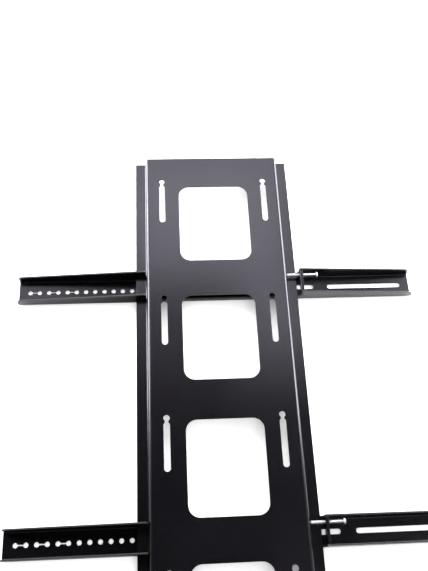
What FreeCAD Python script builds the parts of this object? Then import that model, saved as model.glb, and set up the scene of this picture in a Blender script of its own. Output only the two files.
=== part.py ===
import FreeCAD, Part
import math
import os

os.makedirs("parts", exist_ok=True)

# All sizes are in millimetres.
# X runs along the wall plate, Z points up, and Y points into the wall.
# The plate's wall face lies in the plane Y = 0, with the origin at its centre.

# Wall plate: one sheet folded to a hat section
plate_length = 852.0
plate_height = 261.0
plate_sheet = 2.5
plate_bend = 3.0
flange_width = 17.6
hat_depth = 18.0

# Windows in the plate's raised face, in one row
window_count = 4
window_pitch = 200.0
window_length = 139.0
window_height = 116.0
window_corner = 17.0

# Keyhole slots for the wall bolts, in an upper and a lower row
slot_rows_apart = 172.0
slot_width = 9.4
slot_overall = 82.6
slot_head_step = 10.4
slot_neck = 5.2
slot_first_margin = 41.7
slot_column_step = 214.3
stud_spacing = 406.4

# Arms: two alike channels that hang on the plate
arm_offset = 193.0
arm_length = 640.2
arm_upper_reach = 319.0
arm_width = 42.8
arm_sheet = 2.5
arm_bend = 2.5
arm_end_depth = 19.0
arm_lower_depth = 13.5
arm_top_round = 4.5
arm_foot_round = 9.0

# Hooks at the arms' upper half
nose_round = 4.0
notch_round = 1.0

# Throat at the arms' lower half, and the tab that closes it
throat_gap = 4.4
throat_corner = 5.0
throat_top_round = 1.5
tab_relief = 0.5

# Holes and slots in the arms' web
hole_count = 12
hole_pitch = 14.85
hole_diameter = 7.0
hole_end_margin = 17.5
slit_count = 3
slit_width = 1.5
arm_slot_width = 7.4
long_slot_length = 122.3
long_slot_margin = 14.9
short_slot_length = 60.0
slot_bridge = 22.9

# Locking screws: M5 with a pan head and a cross recess, the shank at the thread's mean size
screw_diameter = 5.0
thread_depth = 0.52
screw_length = 47.5
screw_offset = 11.5
screw_tip_chamfer = 0.8
head_diameter = 9.5
head_height = 3.0
head_rim = 1.9
head_crown = 3.4
recess_width = 1.2
recess_length = 5.0
recess_depth = 1.8

# Clearances
flange_gap = 0.5
hang_gap = 0.3
wall_gap = 1.5
nose_gap = 1.5
tab_gap = 0.5
screw_tip_gap = 1.2
thread_gap = 0.05

# How far the cutting tools run past the metal
past = 10.0

# Levels and stations that follow from the sizes above
flange_edge = plate_height / 2
hat_side = flange_edge - flange_width
tv_depth = hat_depth + plate_sheet + flange_gap + arm_lower_depth
notch_roof = -hat_depth + flange_gap
notch_floor = -tv_depth + arm_lower_depth
hook_z = flange_edge + hang_gap
nose_z = hat_side + nose_gap
throat_z = flange_edge + throat_gap
arm_lower_reach = arm_length - arm_upper_reach
arm_end_top = -tv_depth + arm_end_depth
taper = (-wall_gap - arm_end_top) / (arm_upper_reach - nose_z)
throat_top = arm_end_top + taper * (arm_lower_reach - throat_z)
tab_low = notch_floor + throat_corner + tab_relief
screw_y = (tab_low + throat_top) / 2
screw_tip_z = -hat_side - screw_tip_gap
shank_radius = (screw_diameter - thread_depth) / 2


def across(a, b):
    """A point of a section seen along the plate: a is Z and b is Y."""
    return FreeCAD.Vector(0, b, a)


def end_on(a, b):
    """A point of a section seen along an arm: a is X and b is Y."""
    return FreeCAD.Vector(a, b, 0)


def face_on(a, b):
    """A point of an outline seen square to the wall: a is X and b is Z."""
    return FreeCAD.Vector(a, 0, b)


def outline(corners, place):
    """A face bounded by straight lines, each corner (a, b, radius) being rounded."""
    edges = []
    ends = []
    for i in range(len(corners)):
        a, b, radius = corners[i]
        before = corners[i - 1]
        after = corners[(i + 1) % len(corners)]
        size_in = math.hypot(a - before[0], b - before[1])
        size_out = math.hypot(after[0] - a, after[1] - b)
        way_in = ((a - before[0]) / size_in, (b - before[1]) / size_in)
        way_out = ((after[0] - a) / size_out, (after[1] - b) / size_out)
        if radius == 0:
            ends.append((place(a, b), place(a, b)))
            continue
        turn = math.acos(way_in[0] * way_out[0] + way_in[1] * way_out[1])
        run = radius * math.tan(turn / 2)
        rise = radius / math.cos(turn / 2) - radius
        lean = (way_out[0] - way_in[0], way_out[1] - way_in[1])
        scale = rise / math.hypot(lean[0], lean[1])
        first = place(a - way_in[0] * run, b - way_in[1] * run)
        middle = place(a + lean[0] * scale, b + lean[1] * scale)
        last = place(a + way_out[0] * run, b + way_out[1] * run)
        edges.append(Part.Arc(first, middle, last).toShape())
        ends.append((first, last))
    for i in range(len(ends)):
        start = ends[i - 1][1]
        stop = ends[i][0]
        if start.distanceToPoint(stop) > 1e-6:
            edges.append(Part.LineSegment(start, stop).toShape())
    return Part.Face(Part.Wire(Part.__sortEdges__(edges)))


def sheet_face(path, sheet, bend, place):
    """The section of a folded sheet whose metal lies to the left of the path."""
    near = []
    far = []
    ways = []
    for i in range(len(path) - 1):
        size = math.hypot(path[i + 1][0] - path[i][0], path[i + 1][1] - path[i][1])
        ways.append(((path[i + 1][0] - path[i][0]) / size, (path[i + 1][1] - path[i][1]) / size))
    for i in range(len(path)):
        first = ways[max(i - 1, 0)]
        second = ways[min(i, len(ways) - 1)]
        side = first[0] * second[1] - first[1] * second[0]
        mitre = sheet / (1 + first[0] * second[0] + first[1] * second[1])
        a = path[i][0] - (first[1] + second[1]) * mitre
        b = path[i][1] + (first[0] + second[0]) * mitre
        near_bend = 0
        far_bend = 0
        if side > 1e-9:
            near_bend = bend + sheet
            far_bend = bend
        if side < -1e-9:
            near_bend = bend
            far_bend = bend + sheet
        near.append((path[i][0], path[i][1], near_bend))
        far.append((a, b, far_bend))
    return outline(near + far[::-1], place)


def slot_tool(x, z, length, width, y_low, y_high):
    """A cutter for a round-ended slot along X, its left end at x."""
    radius = width / 2
    depth = y_high - y_low
    into = FreeCAD.Vector(0, 1, 0)
    first = Part.makeCylinder(radius, depth, FreeCAD.Vector(x + radius, y_low, z), into)
    last = Part.makeCylinder(radius, depth, FreeCAD.Vector(x + length - radius, y_low, z), into)
    corner = FreeCAD.Vector(x + radius, y_low, z - radius)
    middle = Part.makeBox(length - width, depth, width, corner)
    return first.fuse([middle, last]).removeSplitter()


def make_plate():
    """The wall plate with its windows and keyhole slots."""
    section = sheet_face(
        [
            (-flange_edge, -hat_depth - plate_sheet),
            (-hat_side + plate_sheet, -hat_depth - plate_sheet),
            (-hat_side + plate_sheet, -plate_sheet),
            (hat_side - plate_sheet, -plate_sheet),
            (hat_side - plate_sheet, -hat_depth - plate_sheet),
            (flange_edge, -hat_depth - plate_sheet),
        ],
        plate_sheet,
        plate_bend,
        across,
    )
    section.translate(FreeCAD.Vector(-plate_length / 2, 0, 0))
    plate = section.extrude(FreeCAD.Vector(plate_length, 0, 0))
    cutters = []
    # One rounded window at each step along the row
    for i in range(window_count):
        middle = (i - (window_count - 1) / 2) * window_pitch
        left = middle - window_length / 2
        right = middle + window_length / 2
        window = outline(
            [
                (left, -window_height / 2, window_corner),
                (right, -window_height / 2, window_corner),
                (right, window_height / 2, window_corner),
                (left, window_height / 2, window_corner),
            ],
            face_on,
        )
        window.translate(FreeCAD.Vector(0, -plate_sheet - past, 0))
        cutters.append(window.extrude(FreeCAD.Vector(0, plate_sheet + 2 * past, 0)))
    # Each keyhole is a round-ended slot that opens through a neck into a round head
    first_head = -plate_length / 2 + slot_first_margin
    second_head = first_head + slot_column_step
    heads = [first_head, second_head, first_head + stud_spacing, second_head + stud_spacing]
    low = -plate_sheet - past
    depth = past - low
    into = FreeCAD.Vector(0, 1, 0)
    for head in heads:
        for row in (-slot_rows_apart / 2, slot_rows_apart / 2):
            slot_start = head + slot_head_step
            cutters.append(slot_tool(slot_start, row, slot_overall - slot_head_step, slot_width, low, past))
            centre = FreeCAD.Vector(head + slot_width / 2, low, row)
            cutters.append(Part.makeCylinder(slot_width / 2, depth, centre, into))
            corner = centre - FreeCAD.Vector(0, 0, slot_neck / 2)
            cutters.append(Part.makeBox(slot_head_step, depth, slot_neck, corner))
    return plate.cut(cutters).removeSplitter()


def make_arm():
    """One arm with its middle at X = 0."""
    half_width = arm_width / 2
    section = sheet_face(
        [(-half_width, past), (-half_width, -tv_depth), (half_width, -tv_depth), (half_width, past)],
        arm_sheet,
        arm_bend,
        end_on,
    )
    section.translate(FreeCAD.Vector(0, 0, -arm_lower_reach))
    channel = section.extrude(FreeCAD.Vector(0, 0, arm_length))
    # The right wall is cut back where its flap is folded across the throat
    fold = arm_bend + arm_sheet
    corner = FreeCAD.Vector(half_width - arm_sheet, tab_low - tab_relief, -throat_z - fold)
    channel = channel.cut(Part.makeBox(past, past - tab_low + tab_relief, fold + past, corner))
    flap = sheet_face(
        [
            (half_width, -throat_z - fold - past),
            (half_width, -throat_z),
            (0, -throat_z),
        ],
        arm_sheet,
        arm_bend,
        face_on,
    )
    # The flap's free end is folded back behind it, so the screw's thread is twice as long
    hem_end = -half_width + arm_sheet + tab_gap
    hem_root = half_width - fold
    hem_back = -throat_z - 2 * arm_sheet
    hem = outline(
        [
            (hem_end, -throat_z, arm_sheet),
            (hem_root, -throat_z, 0),
            (hem_root, hem_back, 0),
            (hem_end, hem_back, arm_sheet),
        ],
        face_on,
    )
    for section in (flap, hem):
        section.translate(FreeCAD.Vector(0, tab_low, 0))
        channel = channel.fuse(section.extrude(FreeCAD.Vector(0, past - tab_low, 0)))
    # Seen from the side, both walls taper to the ends and are notched for the plate's flanges
    side = outline(
        [
            (arm_upper_reach, -tv_depth, 0),
            (arm_upper_reach, arm_end_top, arm_top_round),
            (nose_z, -wall_gap, nose_round),
            (nose_z, notch_roof, nose_round),
            (hook_z, notch_roof, notch_round),
            (hook_z, notch_floor, notch_round),
            (-throat_z, notch_floor, throat_corner),
            (-throat_z, throat_top, throat_top_round),
            (-arm_lower_reach, arm_end_top, arm_foot_round),
            (-arm_lower_reach, -tv_depth, 0),
        ],
        across,
    )
    side.translate(FreeCAD.Vector(-half_width - past, 0, 0))
    arm = channel.common(side.extrude(FreeCAD.Vector(arm_width + 2 * past, 0, 0)))
    cutters = []
    low = -tv_depth - past
    high = -tv_depth + arm_sheet + arm_bend
    into = FreeCAD.Vector(0, 1, 0)
    # Round holes along the upper half, the first pairs joined by thin slits
    for i in range(hole_count):
        z = arm_upper_reach - hole_end_margin - i * hole_pitch
        cutters.append(Part.makeCylinder(hole_diameter / 2, high - low, FreeCAD.Vector(0, low, z), into))
        if i % 2 == 1 and i < 2 * slit_count:
            corner = FreeCAD.Vector(-slit_width / 2, low, z)
            cutters.append(Part.makeBox(slit_width, high - low, hole_pitch, corner))
    # A long and a short slot along the lower half
    upright = FreeCAD.Rotation(FreeCAD.Vector(0, 1, 0), -90)
    long_low = -arm_lower_reach + long_slot_margin
    short_low = long_low + long_slot_length + slot_bridge
    for start, length in ((long_low, long_slot_length), (short_low, short_slot_length)):
        slot = slot_tool(0, 0, length, arm_slot_width, low, high)
        slot.Placement = FreeCAD.Placement(FreeCAD.Vector(0, 0, start), upright)
        cutters.append(slot)
    # The screw's hole in the tab
    screw_start = FreeCAD.Vector(-screw_offset, screw_y, -throat_z - fold - past)
    along = FreeCAD.Vector(0, 0, 1)
    cutters.append(Part.makeCylinder(screw_diameter / 2 + thread_gap, fold + 2 * past, screw_start, along))
    return arm.cut(cutters).removeSplitter()


def make_screw():
    """One locking screw for an arm with its middle at X = 0, its tip upward."""
    along = FreeCAD.Vector(0, 0, 1)
    under_head = FreeCAD.Vector(-screw_offset, screw_y, screw_tip_z - screw_length)
    shank = Part.makeCylinder(shank_radius, screw_length, under_head, along)
    tip = [edge for edge in shank.Edges if abs(edge.CenterOfMass.z - screw_tip_z) < 1e-6]
    shank = shank.makeChamfer(screw_tip_chamfer, tip)
    # The head is a plain rim under a low cone
    rim = Part.makeCylinder(head_diameter / 2, head_rim, under_head - along * head_rim, along)
    top = under_head - along * head_height
    crown = Part.makeCone(head_crown, head_diameter / 2, head_height - head_rim, top, along)
    head = rim.fuse(crown)
    screw = shank.fuse(head)
    # Two crossed grooves make the driver's recess
    for size_x, size_y in ((recess_length, recess_width), (recess_width, recess_length)):
        corner = top - FreeCAD.Vector(size_x / 2, size_y / 2, 0)
        screw = screw.cut(Part.makeBox(size_x, size_y, recess_depth, corner))
    return screw.removeSplitter()


plate = make_plate()
arm = make_arm()
screw = make_screw()

plate.exportStep("parts/wall_plate.step")
for name, x in (("left", -arm_offset), ("right", arm_offset)):
    across_plate = FreeCAD.Vector(x, 0, 0)
    arm.translated(across_plate).exportStep("parts/" + name + "_arm.step")
    screw.translated(across_plate).exportStep("parts/" + name + "_lock_screw.step")
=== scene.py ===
# %% [markdown]
# # A wall mount for a flat screen
#
# The mount is two folded channels, the arms, hung on one wide folded plate.
# The plate's raised face lies against the wall, and the arms' flat webs carry the screen.
# All the sheet-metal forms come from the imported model.
# This lesson gives them their finishes, adds the screws' threads and lights the scene.
# The frame has X along the plate, Z up and Y into the wall, in metres.

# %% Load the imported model
import bpy
import math
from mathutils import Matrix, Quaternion, Vector


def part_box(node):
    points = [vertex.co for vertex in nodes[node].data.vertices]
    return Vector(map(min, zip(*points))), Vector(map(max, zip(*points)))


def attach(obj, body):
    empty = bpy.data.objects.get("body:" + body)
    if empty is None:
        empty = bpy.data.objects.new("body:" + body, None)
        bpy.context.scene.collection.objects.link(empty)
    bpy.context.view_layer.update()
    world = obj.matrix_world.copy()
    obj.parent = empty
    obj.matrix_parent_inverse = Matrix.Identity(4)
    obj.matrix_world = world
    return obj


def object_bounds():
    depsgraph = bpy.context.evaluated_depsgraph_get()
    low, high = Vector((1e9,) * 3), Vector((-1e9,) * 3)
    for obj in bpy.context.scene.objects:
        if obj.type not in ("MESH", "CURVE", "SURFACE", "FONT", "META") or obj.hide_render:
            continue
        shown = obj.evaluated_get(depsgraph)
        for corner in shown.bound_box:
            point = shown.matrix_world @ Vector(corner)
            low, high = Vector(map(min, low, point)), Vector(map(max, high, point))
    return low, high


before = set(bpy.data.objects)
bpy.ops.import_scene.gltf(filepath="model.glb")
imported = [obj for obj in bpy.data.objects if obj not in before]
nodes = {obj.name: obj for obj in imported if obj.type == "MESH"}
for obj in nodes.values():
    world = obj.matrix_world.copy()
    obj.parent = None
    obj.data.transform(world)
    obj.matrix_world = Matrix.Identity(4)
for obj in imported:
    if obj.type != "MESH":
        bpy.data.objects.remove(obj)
cad_low, cad_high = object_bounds()


def in_mm(*lengths):
    """Lengths in millimetres, rounded for printing."""
    return [round(1000 * length, 1) for length in lengths]


print("nodes:", sorted(nodes))
print("box in mm:", in_mm(*cad_low, *cad_high))

# %% [markdown]
# ## Helpers for node trees
#
# Every finish below is a small network of nodes, so a few helpers keep the cells short.
# One sets plain values on a node, one adds a node, and one gives an input socket its source.
# Two more add a sum and a mix of colours.

# %% Node helpers
def set_values(node, **values):
    """Sets the properties and the sockets of a node that are named in values."""
    for name, value in values.items():
        if hasattr(node, name):
            setattr(node, name, value)
        else:
            node.inputs[name.replace("_", " ")].default_value = value


def add(tree, kind, label, **values):
    """Adds a node with a label and plain values."""
    node = tree.nodes.new(kind)
    node.label = label
    set_values(node, **values)
    return node


def feed(tree, source, target):
    """Gives an input socket its source, which is an output socket or a plain value."""
    if isinstance(source, bpy.types.NodeSocket):
        tree.links.new(source, target)
    else:
        target.default_value = source


def calc(tree, label, operation, *terms):
    """Adds a sum of sockets or plain numbers, and gives its output socket."""
    node = add(tree, "ShaderNodeMath", label, operation=operation)
    for target, term in zip(node.inputs, terms):
        feed(tree, term, target)
    return node.outputs[0]


# A mix node has sockets for every kind of data, and these are the places of its colour sockets.
first_colour = 6
second_colour = 7
mixed_colour = 2


def mix_colours(tree, label, share, first, second):
    """Adds a mix of two colours, and gives its output socket."""
    node = add(tree, "ShaderNodeMix", label, data_type="RGBA")
    feed(tree, share, node.inputs["Factor"])
    feed(tree, first, node.inputs[first_colour])
    feed(tree, second, node.inputs[second_colour])
    return node.outputs[mixed_colour]


print("helpers ready")

# %% [markdown]
# ## Powder coat
#
# Powder coat is sprayed on as dry grains and melted in an oven.
# It flows into a satin skin with a very fine ripple, like orange peel, and it varies slightly in gloss.
# The plate and the arms share the effect, so it is one group with named sockets.
# The group gives a colour, a roughness and a height, and the material's own shader uses them.

# %% Powder coat group
drift_scale = 9.0
drift_share = 0.45
drift_low = 0.3
drift_high = 0.7
grain_scale = 1600.0
grain_share = 0.55


def open_sockets(tree, way, kind, *names):
    """Gives a group named sockets of one kind."""
    for name in names:
        tree.interface.new_socket(name, in_out=way, socket_type=kind)


def make_powder_group():
    """A node group for the skin of baked powder."""
    tree = bpy.data.node_groups.new("powder_coat", "ShaderNodeTree")
    open_sockets(tree, "INPUT", "NodeSocketVector", "Place")
    open_sockets(tree, "INPUT", "NodeSocketColor", "Coat Colour", "Thin Colour")
    open_sockets(tree, "INPUT", "NodeSocketFloat", "Gloss Low", "Gloss High", "Ripple Scale")
    open_sockets(tree, "OUTPUT", "NodeSocketColor", "Colour")
    open_sockets(tree, "OUTPUT", "NodeSocketFloat", "Roughness", "Height")
    given = add(tree, "NodeGroupInput", "given").outputs
    made = add(tree, "NodeGroupOutput", "made").inputs
    drift = add(tree, "ShaderNodeTexNoise", "slow drift", Scale=drift_scale, Detail=3.0)
    grains = add(tree, "ShaderNodeTexNoise", "fine grains", Scale=grain_scale, Detail=2.0)
    ripple = add(tree, "ShaderNodeTexNoise", "orange peel", Detail=2.0, Roughness=0.55)
    for noise in (drift, grains, ripple):
        feed(tree, given["Place"], noise.inputs["Vector"])
    feed(tree, given["Ripple Scale"], ripple.inputs["Scale"])
    cloud = calc(tree, "share of the drift", "MULTIPLY", drift.outputs["Fac"], drift_share)
    speckle = calc(tree, "drift and grains", "MULTIPLY_ADD", grains.outputs["Fac"], grain_share, cloud)
    coat = mix_colours(tree, "coat over thin coat", speckle, given["Coat Colour"], given["Thin Colour"])
    gloss = add(tree, "ShaderNodeMapRange", "gloss", From_Min=drift_low, From_Max=drift_high)
    feed(tree, drift.outputs["Fac"], gloss.inputs["Value"])
    feed(tree, given["Gloss Low"], gloss.inputs["To Min"])
    feed(tree, given["Gloss High"], gloss.inputs["To Max"])
    feed(tree, coat, made["Colour"])
    feed(tree, gloss.outputs[0], made["Roughness"])
    feed(tree, ripple.outputs["Fac"], made["Height"])
    return tree


powder_coat = make_powder_group()
print("group:", powder_coat.name, "with", len(powder_coat.nodes), "nodes")

# %% [markdown]
# ## Materials of the plate and the arms
#
# Both are satin black, with a faint violet cast where they catch the light.
# The arms are stamped and hung separately on the coating line, and come out a little duller.
# One function makes both, so they stay alike and differ only in the values that it is given.

# %% Coated steel
coat_black = (0.0022, 0.002, 0.0029, 1)
thin_black = (0.0036, 0.0033, 0.0046, 1)
violet_cast = (0.88, 0.85, 1.0, 1)
ripple_height = 0.0002


def new_material(name):
    """A new material, with its node tree and its main shader."""
    material = bpy.data.materials.new(name)
    material.use_nodes = True
    tree = material.node_tree
    return material, tree, tree.nodes["Principled BSDF"]


def make_coated(name, gloss_low, gloss_high, ripple_scale, ripple_strength, shine):
    """A material of powder-coated steel."""
    material, tree, shader = new_material(name)
    place = add(tree, "ShaderNodeTexCoord", "place on the piece")
    skin = add(tree, "ShaderNodeGroup", "skin", node_tree=powder_coat)
    set_values(skin, Coat_Colour=coat_black, Thin_Colour=thin_black)
    set_values(skin, Gloss_Low=gloss_low, Gloss_High=gloss_high, Ripple_Scale=ripple_scale)
    feed(tree, place.outputs["Object"], skin.inputs["Place"])
    bump = add(tree, "ShaderNodeBump", "ripple", Strength=ripple_strength, Distance=ripple_height)
    feed(tree, skin.outputs["Height"], bump.inputs["Height"])
    feed(tree, skin.outputs["Colour"], shader.inputs["Base Color"])
    feed(tree, skin.outputs["Roughness"], shader.inputs["Roughness"])
    feed(tree, bump.outputs["Normal"], shader.inputs["Normal"])
    set_values(shader, Specular_IOR_Level=shine, Specular_Tint=violet_cast)
    return material


plate_coat = make_coated(
    "plate_coat", gloss_low=0.22, gloss_high=0.26, ripple_scale=700.0, ripple_strength=0.12, shine=0.55
)
arm_coat = make_coated(
    "arm_coat", gloss_low=0.23, gloss_high=0.28, ripple_scale=650.0, ripple_strength=0.14, shine=0.42
)
print("materials:", plate_coat.name, arm_coat.name)

# %% [markdown]
# ## Pale sheared edges and a painted highlight
#
# Melted powder draws back from a sheared edge, so the coat is thinner there and looks paler.
# On the arms this shows as a grey line along the top of each side wall, which is also a painted highlight
# for the light that those edges catch.
# Those edges lie in the side walls, stand clear of the web and face the wall.
# The mask asks for just that, so no edge has to be painted by hand.

# %% Pale edges and a painted highlight on the arms
right_low, right_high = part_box("right_arm")
arm_middle = (right_low.x + right_high.x) / 2
arm_half = (right_high.x - right_low.x) / 2
sheet_thickness = 0.0025
edge_margin = 0.00025
inner_side = arm_half - sheet_thickness - edge_margin
web_clearance = 0.0075
least_facing = 0.5
pale_edge_and_highlight_grey = (0.05, 0.05, 0.05, 1)


def add_pale_edges_and_painted_highlight(material):
    """Makes a coat paler along the tops of the arms' side walls, partly as a thinner coat and partly as a
    painted highlight.
    """
    tree = material.node_tree
    shader = tree.nodes["Principled BSDF"]
    coat = shader.inputs["Base Color"].links[0].from_socket
    place = add(tree, "ShaderNodeTexCoord", "place and facing")
    spot = add(tree, "ShaderNodeSeparateXYZ", "place")
    turn = add(tree, "ShaderNodeSeparateXYZ", "facing")
    feed(tree, place.outputs["Object"], spot.inputs[0])
    feed(tree, place.outputs["Normal"], turn.inputs[0])
    side = calc(tree, "from the plate's middle", "ABSOLUTE", spot.outputs["X"])
    across = calc(tree, "from the arm's middle", "SUBTRACT", side, arm_middle)
    aside = calc(tree, "to either side", "ABSOLUTE", across)
    in_wall = calc(tree, "in a side wall", "GREATER_THAN", aside, inner_side)
    above = calc(tree, "clear of the web", "GREATER_THAN", spot.outputs["Y"], cad_low.y + web_clearance)
    facing = calc(tree, "faces the wall", "GREATER_THAN", turn.outputs["Y"], least_facing)
    top = calc(tree, "top of a side wall", "MULTIPLY", in_wall, above)
    edge = calc(tree, "sheared edge", "MULTIPLY", top, facing)
    # Painted highlight: the grey along the wall tops stands in for the light that they catch, besides the
    # thinner coat.
    tint = mix_colours(tree, "pale edge and painted highlight", edge, coat, pale_edge_and_highlight_grey)
    feed(tree, tint, shader.inputs["Base Color"])


add_pale_edges_and_painted_highlight(arm_coat)
print("side walls from", *in_mm(inner_side), "mm to either side of", *in_mm(arm_middle), "mm")

# %% [markdown]
# ## Zinc of the locking screws
#
# The screws are plated with bright zinc, which is a metal skin with faint mottling.
# One noise pattern drives both its tone and its gloss, because they vary together on real plating.

# %% Bright zinc
zinc_dark = (0.93, 0.93, 0.94, 1)
zinc_light = (0.99, 0.99, 1.0, 1)
mottle_scale = 420.0


def make_zinc():
    """A material of bright zinc plating."""
    material, tree, shader = new_material("bright_zinc")
    place = add(tree, "ShaderNodeTexCoord", "place on the piece")
    mottle = add(tree, "ShaderNodeTexNoise", "faint mottling", Scale=mottle_scale, Detail=3.0)
    feed(tree, place.outputs["Object"], mottle.inputs["Vector"])
    tones = add(tree, "ShaderNodeValToRGB", "zinc tones")
    dark, light = tones.color_ramp.elements
    dark.position = 0.3
    dark.color = zinc_dark
    light.position = 0.7
    light.color = zinc_light
    feed(tree, mottle.outputs["Fac"], tones.inputs["Fac"])
    gloss = add(tree, "ShaderNodeMapRange", "gloss", To_Min=0.32, To_Max=0.42)
    feed(tree, mottle.outputs["Fac"], gloss.inputs["Value"])
    feed(tree, tones.outputs["Color"], shader.inputs["Base Color"])
    feed(tree, gloss.outputs[0], shader.inputs["Roughness"])
    set_values(shader, Metallic=1.0)
    return material


zinc = make_zinc()
print("material:", zinc.name)

# %% [markdown]
# ## Dress the imported pieces
#
# The imported solids already have the right forms, so each only takes its finish.
# The table also lists a slot name with each finish, though the loop doesn't use it.

# %% Finishes on the solids
finish_of = {
    "wall_plate": (plate_coat, "plate_coat"),
    "left_arm": (arm_coat, "arm_coat"),
    "right_arm": (arm_coat, "arm_coat"),
    "left_lock_screw": (zinc, "zinc"),
    "right_lock_screw": (zinc, "zinc"),
}
for name, (material, slot) in finish_of.items():
    nodes[name].data.materials.clear()
    nodes[name].data.materials.append(material)
    print(name, "takes", material.name)

# %% [markdown]
# ## Softened edges
#
# Sheared edges are never knife sharp, and the baked coat rounds them further.
# A narrow bevel catches thin lines of light, as along the arms' walls in the photograph.
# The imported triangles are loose, so a weld comes first, and a planar dissolve makes each flat whole.
# Without it the bevel would pull at the long thin triangles and crease the flats.
# Weighted normals then keep the flats flat.

# %% Bevels on the sheet metal
plate_edge = 0.0002
arm_edge = 0.0005
weld_distance = 0.000002
flat_angle = math.radians(1)
sharp_angle = math.radians(50)


def soften(name, width):
    """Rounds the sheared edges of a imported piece, without a change to its own mesh."""
    steps = nodes[name].modifiers
    weld = steps.new("weld", "WELD")
    weld.merge_threshold = weld_distance
    flats = steps.new("whole flats", "DECIMATE")
    flats.decimate_type = "DISSOLVE"
    flats.angle_limit = flat_angle
    bevel = steps.new("soft edges", "BEVEL")
    bevel.width = width
    bevel.segments = 2
    bevel.limit_method = "ANGLE"
    bevel.angle_limit = sharp_angle
    bevel.use_clamp_overlap = False
    steps.new("flat flats", "WEIGHTED_NORMAL")
    view = bpy.context.evaluated_depsgraph_get()
    print(name, "has", len(nodes[name].evaluated_get(view).data.polygons), "faces")


soften("wall_plate", plate_edge)
soften("left_arm", arm_edge)
soften("right_arm", arm_edge)

# %% [markdown]
# ## Threads of the locking screws
#
# A rolled thread is one ridge that winds around the shank and climbs by the pitch at each turn.
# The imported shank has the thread's mean size, so the ridge is all that is missing.
# It follows a path, so geometry nodes sweep a small triangle along a spiral.
# Named inputs hold the sizes, and one tree serves both screws.

# %% Thread node tree
steps_per_turn = 20
flank_stretch = (1.0, 2.3, 1.0)


def make_thread_tree():
    """A node tree for a right-hand ridge that winds upward from its start."""
    tree = bpy.data.node_groups.new("screw_thread", "GeometryNodeTree")
    open_sockets(tree, "INPUT", "NodeSocketFloat", "Length", "Pitch", "Root Radius", "Ridge Height")
    open_sockets(tree, "INPUT", "NodeSocketVector", "Start")
    open_sockets(tree, "INPUT", "NodeSocketMaterial", "Finish")
    open_sockets(tree, "OUTPUT", "NodeSocketGeometry", "Thread")
    given = add(tree, "NodeGroupInput", "given").outputs
    made = add(tree, "NodeGroupOutput", "made").inputs
    turns = calc(tree, "turns", "DIVIDE", given["Length"], given["Pitch"])
    spiral = add(tree, "GeometryNodeCurveSpiral", "path", Resolution=steps_per_turn, Reverse=True)
    feed(tree, turns, spiral.inputs["Rotations"])
    feed(tree, given["Root Radius"], spiral.inputs["Start Radius"])
    feed(tree, given["Root Radius"], spiral.inputs["End Radius"])
    feed(tree, given["Length"], spiral.inputs["Height"])
    peak = add(tree, "GeometryNodeCurvePrimitiveCircle", "three-sided ridge", Resolution=3)
    feed(tree, given["Ridge Height"], peak.inputs["Radius"])
    flanks = add(tree, "GeometryNodeTransform", "wide flanks", Scale=flank_stretch)
    feed(tree, peak.outputs["Curve"], flanks.inputs["Geometry"])
    sweep = add(tree, "GeometryNodeCurveToMesh", "sweep", Fill_Caps=True)
    feed(tree, spiral.outputs[0], sweep.inputs["Curve"])
    feed(tree, flanks.outputs[0], sweep.inputs["Profile Curve"])
    shift = add(tree, "GeometryNodeTransform", "to the screw")
    feed(tree, sweep.outputs[0], shift.inputs["Geometry"])
    feed(tree, given["Start"], shift.inputs["Translation"])
    whole = add(tree, "GeometryNodeRealizeInstances", "one mesh")
    feed(tree, shift.outputs[0], whole.inputs[0])
    finish = add(tree, "GeometryNodeSetMaterial", "finish")
    feed(tree, whole.outputs[0], finish.inputs["Geometry"])
    feed(tree, given["Finish"], finish.inputs["Material"])
    feed(tree, finish.outputs[0], made["Thread"])
    return tree


thread_tree = make_thread_tree()
thread_inputs = {
    item.name: item.identifier
    for item in thread_tree.interface.items_tree
    if item.item_type == "SOCKET" and item.in_out == "INPUT"
}
print("thread inputs:", sorted(thread_inputs))

# %% [markdown]
# ## One thread for each screw
#
# The ridge starts a little above the head and runs out a little before the tip.
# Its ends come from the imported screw's box, so the thread follows the screw if the model changes.
# Each screw is a body that moves on its own, so each thread is a plain mesh that rides on its screw.

# %% Threads on both screws
head_height = 0.003
plain_end = 0.0014
thread_pitch = 0.0008
root_radius = 0.0022
ridge_height = 0.0003


def put_in_scene(name, data):
    """A new object for a mesh, a lamp or a camera, put in the scene."""
    thing = bpy.data.objects.new(name, data)
    bpy.context.scene.collection.objects.link(thing)
    return thing


def make_thread(name, screw, body):
    """The thread of one screw, as a plain mesh that rides on the screw's body."""
    low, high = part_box(screw)
    maker = put_in_scene("maker", bpy.data.meshes.new("maker"))
    winding = maker.modifiers.new("thread", "NODES")
    winding.node_group = thread_tree
    start = ((low.x + high.x) / 2, (low.y + high.y) / 2, low.z + head_height + plain_end)
    sizes = {
        "Length": high.z - plain_end - start[2],
        "Pitch": thread_pitch,
        "Root Radius": root_radius,
        "Ridge Height": ridge_height,
        "Start": start,
        "Finish": zinc,
    }
    for label, value in sizes.items():
        winding[thread_inputs[label]] = value
    view = bpy.context.evaluated_depsgraph_get()
    mesh = bpy.data.meshes.new_from_object(maker.evaluated_get(view))
    mesh.name = name
    bpy.data.objects.remove(maker)
    thread = put_in_scene(name, mesh)
    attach(thread, body)
    print(name, "has", len(mesh.polygons), "faces over", *in_mm(sizes["Length"]), "mm")


make_thread("left_screw_thread", "left_lock_screw", "left_screw")
make_thread("right_screw_thread", "right_lock_screw", "right_screw")

# %% [markdown]
# ## The surface behind the mount and the floor
#
# In the photograph the mount lies on a white surface with its screen side down.
# A white sheet stands for that surface, just behind the arms' webs.
# A flat square is enough, because the surface shows nothing but its whiteness and its shade.
# A floor lies well below the mount, for the views that show it upright.

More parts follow.
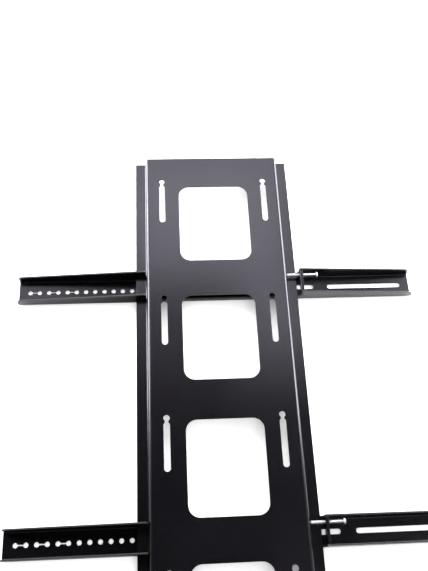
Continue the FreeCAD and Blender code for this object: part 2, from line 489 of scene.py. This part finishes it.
# %% White sheet and floor
sheet_gap = 0.0006
sheet_half = 4
floor_drop = 0.6
floor_half = 6
back_y = cad_low.y - sheet_gap
floor_z = cad_low.z - floor_drop


def make_sheet(name, corners):
    """A flat sheet that isn't part of the mount."""
    mesh = bpy.data.meshes.new(name)
    mesh.from_pydata(corners, [], [(0, 1, 2, 3)])
    thing = put_in_scene(name, mesh)
    return thing


white_sheet = make_sheet("white_sheet", [
    (-sheet_half, back_y, -sheet_half),
    (-sheet_half, back_y, sheet_half),
    (sheet_half, back_y, sheet_half),
    (sheet_half, back_y, -sheet_half),
])
pale_floor = make_sheet("pale_floor", [
    (-floor_half, -floor_half, floor_z),
    (floor_half, -floor_half, floor_z),
    (floor_half, floor_half, floor_z),
    (-floor_half, floor_half, floor_z),
])
print("sheet faces", white_sheet.data.polygons[0].normal[:], "floor at", round(floor_z, 3))

# %% [markdown]
# ## Finish of the white sheet
#
# The sheet shows only its front, so the mount can also be seen from the room.
# The webs all but touch it, and it is clear to such short rays, so the room's lamps light the webs alone.
# It glows as an overexposed surface does, and painted shade dims the glow where the mount stands close
# over it.
# The arms' outer walls mirror it, and there a painted shadow makes it dark beside the plate's upper edge.

# %% Material of the white sheet
plate_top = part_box("wall_plate")[1].z
seen_glow = 0.95
mirrored_rise = 3.7
mirrored_most = 0.86
cover_reach = 0.5
cover_dark = 0.12
cover_light = 0.38
touch_length = 0.003


def make_white_sheet():
    """White from the front, unseen from behind, and open to the faces that touch it."""
    material, tree, shader = new_material("white_sheet")
    set_values(shader, Base_Color=(0.85, 0.85, 0.85, 1), Roughness=0.9, Specular_IOR_Level=0.1)
    set_values(shader, Emission_Color=(1, 1, 1, 1))
    ray = add(tree, "ShaderNodeLightPath", "kind of ray").outputs
    place = add(tree, "ShaderNodeTexCoord", "place on the sheet")
    spot = add(tree, "ShaderNodeSeparateXYZ", "place")
    feed(tree, place.outputs["Object"], spot.inputs[0])
    # Painted shadow: the glow in mirrored rays is dimmed near the height of the plate's upper edge.
    above = calc(tree, "above the plate", "SUBTRACT", spot.outputs["Z"], plate_top)
    away = calc(tree, "away from the plate's edge", "ABSOLUTE", above)
    lit = calc(tree, "brighter further away", "MULTIPLY", away, mirrored_rise)
    most = calc(tree, "up to a full glow", "MINIMUM", lit, mirrored_most)
    mirrored = calc(tree, "glow in mirrored rays", "MULTIPLY", ray["Is Glossy Ray"], most)
    seen = calc(tree, "glow in seen rays", "MULTIPLY_ADD", ray["Is Camera Ray"], seen_glow, mirrored)
    # Painted shade: the glow is dimmed where the mount covers the sheet.
    cover = add(tree, "ShaderNodeAmbientOcclusion", "cover by the mount", samples=4, Distance=cover_reach)
    shade = add(tree, "ShaderNodeMapRange", "shade", From_Min=cover_dark, From_Max=cover_light)
    feed(tree, cover.outputs["AO"], shade.inputs["Value"])
    glow = calc(tree, "shaded glow", "MULTIPLY", seen, shade.outputs[0])
    feed(tree, glow, shader.inputs["Emission Strength"])
    side = add(tree, "ShaderNodeNewGeometry", "side").outputs
    touching = calc(tree, "ray from a touching face", "LESS_THAN", ray["Ray Length"], touch_length)
    open_way = calc(tree, "behind or touching", "MAXIMUM", side["Backfacing"], touching)
    clear = add(tree, "ShaderNodeBsdfTransparent", "clear")
    choose = add(tree, "ShaderNodeMixShader", "sheet or clear")
    for target, source in zip(choose.inputs, (open_way, shader.outputs[0], clear.outputs[0])):
        feed(tree, source, target)
    feed(tree, choose.outputs[0], tree.nodes["Material Output"].inputs["Surface"])
    return material


white_sheet.data.materials.append(make_white_sheet())
print("sheet is clear to rays under", *in_mm(touch_length), "mm")

# %% [markdown]
# ## Finish of the floor
#
# The floor is plain and pale, and looks evenly lit.
# It glows only to the camera, so that it adds no light of its own to the mount.

# %% Material of the floor
floor_glow = 0.7


def make_pale_floor():
    """A plain pale floor."""
    material, tree, shader = new_material("pale_floor")
    set_values(shader, Base_Color=(0.3, 0.3, 0.295, 1), Roughness=0.9, Emission_Color=(1, 1, 0.99, 1))
    ray = add(tree, "ShaderNodeLightPath", "kind of ray").outputs
    glow = calc(tree, "glow in seen rays", "MULTIPLY", ray["Is Camera Ray"], floor_glow)
    feed(tree, glow, shader.inputs["Emission Strength"])
    return material


pale_floor.data.materials.append(make_pale_floor())
print("stage materials ready")

# %% [markdown]
# ## Light
#
# Satin black shows little but reflections, so the lights are placed as reflections.
# The mount lies on its screen side in the photograph, so the ceiling of that room is on the wall side.
# Ceiling panels stand beyond the plate's left end, and their sheen fades along the plate.
# Smaller ones carry the sheen along the plate's two sides and give the arms' ends their paler webs.
# Long lamps above and below draw the bright lines along the plate's bends and on the screws.
# A wide fill from the right end lightens the walls that face it.
# A low panel on the wall side gives the plate a sheen in the views from behind.
# A lamp and a broad panel in the room show the arms' webs in the views from that side.

# %% Soft lights
mount_middle = (0, 0, 0)
ceiling_y = 1.35
bend_z = 0.11


def soft_light(name, place, aim, width, height, power):
    """An area light at a place, turned to its aim and unseen by the camera."""
    lamp = bpy.data.lights.new(name, "AREA")
    lamp.shape = "RECTANGLE"
    lamp.size = width
    lamp.size_y = height
    lamp.energy = power
    thing = put_in_scene(name, lamp)
    thing.location = place
    thing.rotation_euler = (Vector(aim) - Vector(place)).to_track_quat("-Z", "Y").to_euler()
    thing.visible_camera = False


def ceiling_panel(name, x, z, width, height, power):
    """A soft light on the wall side that faces straight back to the room."""
    soft_light(name, (x, ceiling_y, z), (x, 0, z), width, height, power)


def bend_lamp(name, place, aim_z, width, height, power):
    """A long soft light that faces the line of one of the plate's bends."""
    soft_light(name, place, (place[0], 0, aim_z), width, height, power)


ceiling_panel("ceiling_far", x=-1.6, z=-0.1, width=0.6, height=2.2, power=12.3)
ceiling_panel("ceiling_near", x=-1.07, z=-0.06, width=0.46, height=0.72, power=4.97)
ceiling_panel("ceiling_right", x=-0.65, z=-0.31, width=0.3, height=0.26, power=1.0)
ceiling_panel("ceiling_left", x=-0.6, z=0.1, width=0.25, height=0.2, power=0.13)
ceiling_panel("ceiling_low_end", x=-0.8, z=-1.0, width=0.4, height=0.4, power=4.2)
ceiling_panel("ceiling_high_end", x=-0.8, z=0.62, width=0.4, height=0.4, power=2.1)
bend_lamp("upper_high", (-1.25, 1.0, 1.25), bend_z, width=1.5, height=0.3, power=33)
bend_lamp("upper_far", (-1.5, 0.15, 1.35), bend_z, width=1.0, height=0.4, power=50)
bend_lamp("upper_side", (-0.7, 0.25, 1.35), bend_z, width=0.8, height=0.4, power=33)
bend_lamp("lower_side", (-0.66, 0.22, -0.85), -bend_z, width=1.08, height=0.66, power=38.5)
soft_light("side_fill", (2.6, 2.2, 0.2), mount_middle, width=2.5, height=2.5, power=7)
soft_light("low_panel", (1.3, 1.9, -0.55), mount_middle, width=2.0, height=0.7, power=8)
soft_light("room_light", (0.6, -1.9, 1.0), mount_middle, width=1.4, height=1.4, power=30)
soft_light("room_panel", (0, -2.4, -0.25), (0, 0, -0.25), width=4.0, height=1.2, power=30)

# %% [markdown]
# ## Surroundings
#
# Around the stage the camera sees a pale studio, while the mount mirrors a dark one.
# A plain view transform keeps the white of the sheet white.

# %% Pale studio
dark_sky = 0.02
pale_sky = 0.8
world = bpy.data.worlds.new("studio")
world.use_nodes = True
tree = world.node_tree
sky = tree.nodes["Background"]
set_values(sky, Color=(1, 1, 1, 1))
ray = add(tree, "ShaderNodeLightPath", "kind of ray").outputs
strength = add(tree, "ShaderNodeMapRange", "dark or pale sky", To_Min=dark_sky, To_Max=pale_sky)
feed(tree, ray["Is Camera Ray"], strength.inputs["Value"])
feed(tree, strength.outputs[0], sky.inputs["Strength"])
bpy.context.scene.world = world
bpy.context.scene.view_settings.view_transform = "Standard"
print("world:", world.name, "with", bpy.context.scene.view_settings.view_transform, "view")

# %% [markdown]
# ## Camera
#
# The camera's place, turn and lens come from a fit of the plate's straight edges to the photograph.
# A camera set by eye would line up one edge and miss the next.

# %% Photograph's camera
fitted_lens = 45.8456
fitted_place = (0.286457, 1.059218, 0.080693)
fitted_turn = Quaternion((0.616151, -0.378998, 0.56942, 0.390486))
lens = bpy.data.cameras.new("photo_camera")
lens.lens = fitted_lens
lens.sensor_width = 36.0
lens.clip_start = 0.01
camera = put_in_scene("photo_camera", lens)
camera.location = fitted_place
camera.rotation_mode = "QUATERNION"
camera.rotation_quaternion = fitted_turn
bpy.context.scene.camera = camera
print("camera at", in_mm(*camera.location), "mm")
